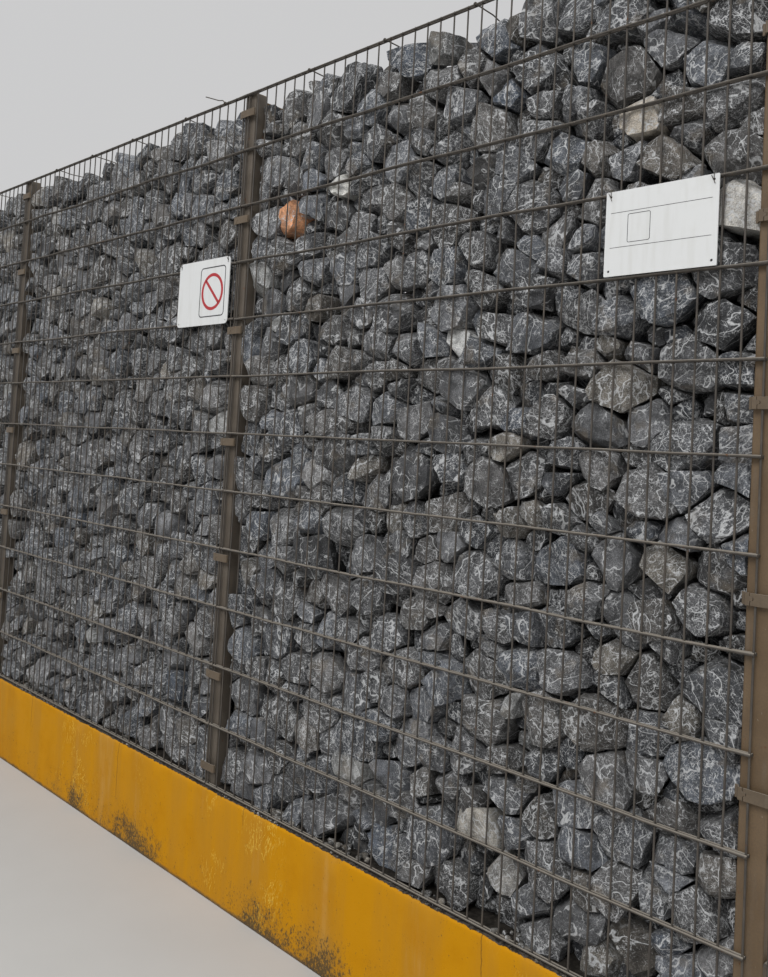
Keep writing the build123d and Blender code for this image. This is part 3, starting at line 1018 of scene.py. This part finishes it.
# Rods across the top, wrapped round both top wires: their places as shares of a bay, how far they
# sway, and how they sag at their bends and in the middle
ROD_SHARES = (0.16, 0.36, 0.55, 0.77)
ROD_RADIUS = 0.0021
ROD_SIDES = 6
ROD_TURNS = 1.35
ROD_POINTS_A_TURN = 12
ROD_STEP = 2.2
ROD_SWAY = 0.010
ROD_BEND_AT = 0.55
ROD_SAG = 0.005
ROD_MIDDLE_SAG = 0.007

# Loose end of a tie: how far from the post it starts, where it ends from there, along and up,
# and its bends as shares of that
LOOSE_TIE_FROM_POST = 0.142
LOOSE_TIE_END = (-0.120, 0.048)
LOOSE_TIE_BENDS = ((0.28, 0.30), (0.10, 0.22))


def wrap(x, facing, turns):
    """Points of a wire wound round a top wire, from its end to where it leaves at the top."""
    radius = LEVEL_RADIUS + ROD_RADIUS
    points = []
    count = int(turns * ROD_POINTS_A_TURN)
    for k in range(count + 1):
        angle = math.pi / 2 + facing * 2 * math.pi * (1 - k / count) * turns
        along = (1 - k / count) * turns * ROD_STEP * ROD_RADIUS
        out = facing * LEVEL_AT + radius * math.cos(angle)
        points.append((x + along, out, MESH_TOP + radius * math.sin(angle)))
    return points


def build_rods():
    """Thin rods between the two top wires, each a little bent, and one loose end of a tie."""
    rng = np.random.default_rng(ROD_SEED)
    over = MESH_TOP + LEVEL_RADIUS + ROD_RADIUS
    for b in range(BAYS):
        length = POST_X[b + 1] - POST_X[b]
        parts = []
        for share in ROD_SHARES:
            opening = round((share * length - EDGE) / PITCH) + 0.5
            x = POST_X[b] + EDGE + PITCH * opening
            sway = rng.uniform(-ROD_SWAY, ROD_SWAY, 3)
            middle = [
                (x + sway[0], -MESH_IN * ROD_BEND_AT, over - ROD_SAG),
                (x + sway[1], 0, over - ROD_MIDDLE_SAG + sway[2] * 0.2),
                (x - sway[0], MESH_IN * ROD_BEND_AT, over - ROD_SAG)]
            path = wrap(x, -1, ROD_TURNS) + middle + wrap(x, 1, ROD_TURNS)[::-1]
            parts.append(tube(path, ROD_RADIUS, ROD_SIDES))
        if b == 1:
            x = POST_X[b + 1] - LOOSE_TIE_FROM_POST
            out, up = LOOSE_TIE_END
            corners = [(x + out, -LEVEL_AT - 0.004, over + up)]
            corners += [(x + out * a, -LEVEL_AT, over + up * b) for a, b in LOOSE_TIE_BENDS]
            corners.append((x - 0.004, -LEVEL_AT + 0.002, over + 0.002))
            path = [tuple(p) for p in rounded_path(corners, 0.012)] + wrap(x, -1, ROD_TURNS)[::-1]
            parts.append(tube(path, ROD_RADIUS, ROD_SIDES))
        verts, faces = joined(parts)
        mesh = make_mesh("rods", verts, faces, ROUND_SHARP)
        add_piece(f"spacer_rods_{b + 1}", mesh, WIRE, [f"top_rods_{b + 1}"])


# Clamps: their plates' thickness, how far they reach along the wall and behind it, and the slit
CLAMP_PLATE = 0.003
CLAMP_LEFT = 0.037
CLAMP_RIGHT = 0.046
CLAMP_END_RIGHT = 0.0449
CLAMP_LEG = 0.046
CLAMP_SLIT = 0.0012

# The slit between a clamp's two plates, from its top down: along the wall, and as a share of
# half its height
CLAMP_SEAM = ((-0.0170, 1.0), (-0.0172, 0.52), (-0.0158, 0.40), (-0.0112, 0.34), (-0.0096, 0.22),
              (-0.0095, -0.06), (-0.0110, -0.18), (-0.0146, -0.24), (-0.0160, -0.36), (-0.0158, -1.0))

# Columns of points along the tab and the plate, the last from the edge with how far each stands back
CLAMP_TAB = (-CLAMP_LEFT, -CLAMP_LEFT + 0.0055, -CLAMP_LEFT + 0.0110, -0.0215)
CLAMP_MIDDLE = (-0.004, 0.010)
CLAMP_BEND = ((0.012, 0.0), (0.005, 0.0002), (0.0014, 0.0016), (0.0, 0.0052))


def bent_plate(columns, depth):
    """A bent plate from columns of places along and up, and how far out each column stands."""
    columns = np.array(columns)
    depth = np.array(depth)
    count, rows = columns.shape[:2]
    run = np.stack((np.gradient(columns[:, :, 0].mean(1)), np.gradient(depth)), 1)
    run = unit_rows(run)
    outside = np.stack((columns[..., 0], np.repeat(-depth[:, None], rows, 1), columns[..., 1]), -1)
    inside = outside.copy()
    inside[..., 0] += CLAMP_PLATE * run[:, 1:]
    inside[..., 1] += CLAMP_PLATE * run[:, :1]
    total = count * rows
    faces = []
    for a in range(total - rows):
        if a % rows < rows - 1:
            faces.append((a, a + 1, a + rows + 1, a + rows))
            faces.append((a + total, a + total + rows, a + total + rows + 1, a + total + 1))
    rim = list(range(rows)) + [c * rows + rows - 1 for c in range(1, count)]
    rim += [(count - 1) * rows + r for r in range(rows - 2, -1, -1)]
    rim += [c * rows for c in range(count - 2, 0, -1)]
    for p, q in zip(rim, rim[1:] + rim[:1]):
        faces.append((p, p + total, q + total, q))
    return np.concatenate((outside, inside)).reshape(-1, 3), faces


def clamp_plates(low, high, rest, front, at_end):
    """A clamp between two heights: a tab that steps out, and a plate that goes on over the wires."""
    middle = (low + high) / 2
    half = (high - low) / 2
    up = [middle + share * half for _, share in CLAMP_SEAM]

    def column(along):
        return [(along, z) for z in up]

    tab = [column(u) for u in CLAMP_TAB]
    tab.append([(u, z) for (u, _), z in zip(CLAMP_SEAM, up)])
    near = rest + CLAMP_PLATE
    parts = [bent_plate(tab, (near, near, front, front, front))]
    plate = [[(u + CLAMP_SLIT, z) for (u, _), z in zip(CLAMP_SEAM, up)]]
    right = CLAMP_END_RIGHT if at_end else CLAMP_RIGHT
    plate += [column(u) for u in CLAMP_MIDDLE]
    plate += [column(right - before) for before, _ in CLAMP_BEND] + [column(right)]
    last = front - CLAMP_LEG if at_end else rest
    parts.append(bent_plate(plate, [front] * 3 + [front - back for _, back in CLAMP_BEND] + [last]))
    return joined(parts)


def build_clamps():
    """Each clamp as two plates that meet in a jigsaw slit."""
    for i, x in enumerate(POST_X):
        at_end = i in (0, BAYS)
        for side, facing in SIDES:
            node = f"{side}_clamps_{i + 1}"
            low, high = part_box(node)
            heights = sorted({round(v.co.z, 4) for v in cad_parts[node].data.vertices})
            front = max(-low.y, high.y)
            rest = MESH_IN if at_end else min(abs(low.y), abs(high.y))
            parts = [clamp_plates(a, b, rest, front, at_end) for a, b in zip(heights[::2], heights[1::2])]
            verts, faces = joined(parts)
            mirror = np.array((-1 if i == 0 else 1, -facing, 1))
            if mirror.prod() < 0:
                faces = faces[:, ::-1]
            mesh = make_mesh("clamps", verts * mirror + np.array((x, 0, 0)), faces, EDGE_SHARP)
            obj = add_piece(f"{node}_plates", mesh, CLAMP, [node])
            soften(obj, 0.0005)


# Kerb

# Its rounded upper edge, points along it, and heights of the rows on its faces
KERB_BEVEL = 0.008
KERB_STEPS = 330
KERB_ROWS = (0.0, 0.02, 0.06, 0.11, 0.17, 0.23, 0.29, 0.325)

# Waves of its faces: lengths per radian, height, and how far they stay back. Dents in its upper
# edge: from waves that pass a level, and from single steps.
FACE_RUNS = (0.21, 0.47, 0.09)
FACE_WAVE = 0.0010
FACE_BACK = 0.0006
DENT_RUNS = (0.031, 0.083, 0.019)
DENT_FROM = 0.30
DENT_DEPTH = 0.012
NICK_FROM = 1.7
NICK_DEPTH = 0.0016
DENT_DOWN = 0.8


def smooth_noise(rng, x, runs):
    """A sum of sine waves with random phases, about -1 to 1."""
    total = np.zeros_like(x)
    for run in runs:
        total += np.sin(x / run + rng.random() * 7) / len(runs)
    return total


def build_kerb():
    """The kerb with slightly uneven faces and a chipped upper edge."""
    rng = np.random.default_rng(KERB_SEED)
    half = KERB_HIGH.y
    x = np.linspace(KERB_LOW.x, KERB_HIGH.x, KERB_STEPS)
    shoulder = KERB_TOP - KERB_BEVEL
    arc = [(half - KERB_BEVEL * (1 - math.cos(a)), KERB_TOP - KERB_BEVEL * (1 - math.sin(a)))
           for a in np.radians((22.5, 45.0, 67.5, 90.0))]
    side = [(half, z) for z in (*KERB_ROWS, shoulder)] + arc
    flat = [(half * k / 6, KERB_TOP) for k in range(5, -6, -1)]
    profile = [(-y, z) for y, z in side] + [(-y, z) for y, z in flat] + [(y, z) for y, z in reversed(side)]
    profile = np.array(profile)
    rows = len(profile)
    verts = np.zeros((KERB_STEPS, rows, 3))
    verts[..., 0] = x[:, None]
    verts[..., 1] = profile[None, :, 0]
    verts[..., 2] = profile[None, :, 1]
    for sign in (-1, 1):
        outer = profile[:, 0] * sign > half - KERB_BEVEL * 1.01
        face = np.flatnonzero(outer)
        top = np.flatnonzero(outer & (profile[:, 1] > KERB_TOP - KERB_BEVEL * 1.01))
        dent = np.maximum(0, smooth_noise(rng, x, DENT_RUNS) - DENT_FROM) * DENT_DEPTH
        dent += np.maximum(0, rng.normal(0, 1, KERB_STEPS) - NICK_FROM) * NICK_DEPTH
        for k in face:
            wave = smooth_noise(rng, x + profile[k, 1], FACE_RUNS) * FACE_WAVE
            verts[:, k, 1] -= sign * (FACE_BACK + np.abs(wave))
        for k in top:
            verts[:, k, 1] -= sign * dent
            verts[:, k, 2] -= dent * DENT_DOWN
    i = np.arange(KERB_STEPS - 1)[:, None]
    k = np.arange(rows - 1)[None]
    faces = np.stack((i * rows + k, i * rows + k + 1, (i + 1) * rows + k + 1, (i + 1) * rows + k), -1)
    faces = faces.reshape(-1, 4).tolist()
    for a in range(KERB_STEPS - 1):
        faces.append((a * rows, (a + 1) * rows, (a + 2) * rows - 1, (a + 1) * rows - 1))
    last = (KERB_STEPS - 1) * rows
    for a in range(rows // 2 - 1 + rows % 2):
        b = rows - 1 - a
        if b - 1 > a + 1:
            faces.append((a, b, b - 1, a + 1))
            faces.append((last + a, last + a + 1, last + b - 1, last + b))
    mesh = make_mesh("kerb_body", verts.reshape(-1, 3), faces, EDGE_SHARP)
    add_piece("painted_kerb", mesh, KERB, ["kerb"])


# Sign plates

# Half the thickness of a print, where the ties sit in from a plate's corners, and the corners
# of a rectangle in turn
PRINT_HALF = 0.00025
TIE_INSET = 0.012
CORNERS = ((1, 1), (-1, 1), (-1, -1), (1, -1))


def flat_print(name, outlines, sign_front, material):
    """Thin printed marks from outlines in the plane of a plate: filled ones, or lines between two."""
    verts = []
    faces = []
    for inner, outer in outlines:
        count = len(outer)
        base = len(verts)
        verts += [(x, sign_front + y, z) for y in (-PRINT_HALF, PRINT_HALF) for x, z in inner + outer]
        if not inner:
            faces += [(base, base + 1, base + 2, base + 3), (base + 7, base + 6, base + 5, base + 4)]
            faces += [(base + k, base + k + 4, base + (k + 1) % 4 + 4, base + (k + 1) % 4) for k in range(4)]
            continue
        for k in range(count):
            n = (k + 1) % count
            i0, i1, o0, o1 = base + k, base + n, base + count + k, base + count + n
            faces.append((i0, i1, o1, o0))
            faces.append((i0 + 2 * count, o0 + 2 * count, o1 + 2 * count, i1 + 2 * count))
            faces.append((o0, o1, o1 + 2 * count, o0 + 2 * count))
            faces.append((i1, i0, i0 + 2 * count, i1 + 2 * count))
    return add_piece(name, make_mesh(name, verts, faces, EDGE_SHARP), material)


def round_rect(cx, cz, width, height, radius, steps=6):
    """Outline of a rectangle with rounded corners."""
    points = []
    for k, (sx, sz) in enumerate(CORNERS):
        for s in range(steps):
            angle = math.pi / 2 * (k + s / (steps - 1))
            points.append((cx + sx * (width / 2 - radius) + radius * math.cos(angle),
                           cz + sz * (height / 2 - radius) + radius * math.sin(angle)))
    return points


def frame_ring(cx, cz, width, height, radius, line):
    """A line along the inside of a rounded rectangle."""
    outer = round_rect(cx, cz, width, height, radius)
    inner = round_rect(cx, cz, width - 2 * line, height - 2 * line, max(radius - line, 0.0002))
    return inner, outer


def bar(cx, cz, width, height, turn=0.0):
    """A filled bar."""
    c, s = math.cos(turn), math.sin(turn)
    corners = [(sx * width / 2, sz * height / 2) for sx, sz in CORNERS]
    return [], [(cx + c * x - s * z, cz + s * x + c * z) for x, z in corners]


def circle_ring(cx, cz, inner, outer, steps=40):
    """A flat ring."""
    turn = [2 * math.pi * k / steps for k in range(steps)]
    return ([(cx + inner * math.cos(a), cz + inner * math.sin(a)) for a in turn],
            [(cx + outer * math.cos(a), cz + outer * math.sin(a)) for a in turn])


def tie_loop(x, z, plate_front):
    """A thin wire through a hole of a plate and round the level wire behind it."""
    back = -LEVEL_AT + LEVEL_RADIUS + 0.002
    front = plate_front - 0.0016
    corners = [(x + 0.003, front - 0.001, z - 0.010), (x, front, z - 0.002), (x, front, z + 0.017),
               (x + 0.001, back, z + 0.020), (x, back, z + 0.004), (x - 0.001, front, z - 0.001),
               (x - 0.005, front - 0.002, z + 0.009)]
    return tube(rounded_path(corners, 0.003), 0.0009, 6)


def plate_places(box):
    """Middle, size and front face of a plate, and the ties at its two upper corners."""
    low, high = box
    ties = [tie_loop(x, high.z - TIE_INSET, low.y) for x in (low.x + TIE_INSET, high.x - TIE_INSET)]
    return (low.x + high.x) / 2, (low.z + high.z) / 2, high.x - low.x, high.z - low.z, low.y, ties


def build_signs():
    """Marks and wire ties for the two plates; the plates are the frame's own."""
    cx, cz, width, height, front, left_ties = plate_places(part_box("left_sign"))
    panel_x = cx + width * 0.185
    panel = height * 0.76
    flat_print("left_sign_frame", [frame_ring(panel_x, cz, panel * 0.86, panel, 0.016, 0.004)], front, BLACK)
    ring = panel * 0.37
    slash = bar(panel_x, cz, ring * 1.74, ring * 0.16, -math.pi / 4)
    flat_print("left_sign_ring", [circle_ring(panel_x, cz, ring * 0.83, ring), slash], front - 0.0002, RED)

    cx, cz, width, height, front, right_ties = plate_places(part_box("right_sign"))
    rules = [bar(cx, cz + height * share, width * 0.90, 0.0011) for share in (0.245, -0.165)]
    at = (cx - width * 0.185, cz + height * 0.045)
    rules.append(frame_ring(*at, width * 0.21, height * 0.335, 0.005, 0.0013))
    flat_print("right_sign_rules", rules, front, BLACK)
    verts, faces = joined(left_ties + right_ties)
    add_piece("sign_ties", make_mesh("ties", verts, faces, ROUND_SHARP), WIRE)


# Posts whose paint is greyer, by their numbers
GREYER_POSTS = "123"


def dress_frame():
    """Materials and softened edges for the nodes that stay."""
    softened = {"post": (STEEL, 0.0), "caps": (STEEL, 0.0004), "post_ties": (STEEL, 0.0006),
                "sign": (WHITE, 0.0004)}
    for name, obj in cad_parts.items():
        if obj.hide_render:
            continue
        for key, (material, edge) in softened.items():
            if key in name:
                chosen, rounding = material, edge
        if "_post_" in name and name[-1] in GREYER_POSTS:
            chosen = GREYER_STEEL
        obj.data.materials.clear()
        obj.data.materials.append(chosen)
        if rounding:
            soften(obj, rounding)


# Floor, light and camera

FLOOR_HALF = 40.0
FLOOR_COLOURS = ((0.44, 0.428, 0.408), (0.49, 0.478, 0.458))
SKY_COLOUR = (0.97, 0.985, 1.0)
SKY_RISE = {"From Min": -0.1, "From Max": 1.0, "To Min": 0.33, "To Max": 1.42}
PLAIN_SKY = (0.60, 0.60, 0.605)


def build_stage():
    """A plain pale floor under a plain pale sky."""
    mesh = make_mesh("floor", [(sx * FLOOR_HALF, sy * FLOOR_HALF, 0) for sx, sy in CORNERS], [(0, 1, 2, 3)])
    floor = bpy.data.objects.new("floor", mesh)
    bpy.context.scene.collection.objects.link(floor)
    n = new_material("pale_floor")
    tint = n.noise(n.place(), 3.0, 5.0)
    mesh.materials.append(n.finish(Base_Color=n.mix(tint, *FLOOR_COLOURS), Roughness=0.85))

    n = Nodes(bpy.data.worlds.new("sky"))
    bpy.context.scene.world = n.owner
    direction = n.add("ShaderNodeTexCoord").outputs["Generated"]
    up = n.add("ShaderNodeSeparateXYZ", {"Vector": direction}).outputs["Z"]
    background = n.tree.nodes["Background"]
    n.put(background.inputs["Color"], SKY_COLOUR)
    strength = n.add("ShaderNodeMapRange", {"Value": up, **SKY_RISE}).outputs["Result"]
    n.put(background.inputs["Strength"], strength)
    plain = n.add("ShaderNodeBackground", {"Color": PLAIN_SKY})
    seen = n.add("ShaderNodeLightPath")
    either = n.most(seen.outputs["Is Camera Ray"], seen.outputs["Is Glossy Ray"])
    mixed = n.add("ShaderNodeMixShader", {0: either, 1: background.outputs[0], 2: plain.outputs[0]})
    n.put(n.tree.nodes["World Output"].inputs["Surface"], mixed.outputs[0])


def add_lamp(name, place, target, size, power):
    """A large soft lamp that faces a point."""
    data = bpy.data.lights.new(name, "AREA")
    data.shape = "SQUARE"
    data.size = size
    data.energy = power
    lamp = bpy.data.objects.new(name, data)
    bpy.context.scene.collection.objects.link(lamp)
    lamp.location = place
    lamp.rotation_euler = (Vector(target) - Vector(place)).to_track_quat("-Z", "Y").to_euler()


def add_camera():
    """The photograph's view, from lines traced on the wall."""
    image_height = 977.0
    middle_y = 488.5
    axis_y = 410.18
    focal = 908.88
    place = Vector((3.5407, -2.0070, 1.5296))
    yaw, pitch, roll = math.radians(45.103), math.radians(2.472), math.radians(3.109)
    ahead = Vector((-math.sin(yaw) * math.cos(pitch), math.cos(yaw) * math.cos(pitch), math.sin(pitch)))
    right = ahead.cross(Vector((0, 0, 1))).normalized()
    up = right.cross(ahead)
    turned_right = math.cos(roll) * right + math.sin(roll) * up
    turned_up = -math.sin(roll) * right + math.cos(roll) * up
    data = bpy.data.cameras.new("camera")
    data.sensor_width = 36.0
    data.lens = focal * data.sensor_width / image_height
    data.shift_y = (axis_y - middle_y) / image_height
    camera = bpy.data.objects.new("camera", data)
    bpy.context.scene.collection.objects.link(camera)
    turn = Matrix((turned_right, turned_up, -ahead)).transposed()
    camera.matrix_world = Matrix.Translation(place) @ turn.to_4x4()
    bpy.context.scene.camera = camera


build_stones()
build_chips()
build_wires()
build_rods()
build_clamps()
build_kerb()
build_signs()
dress_frame()
build_stage()
add_lamp("key", place=(3.4, -7.0, 7.5), target=(0.2, 0.0, 1.2), size=4.0, power=480)
add_lamp("fill_behind", place=(-6.0, 7.0, 5.0), target=(0.0, 0.0, 1.4), size=6.0, power=260)
add_camera()
bpy.context.scene.view_settings.view_transform = "Standard"
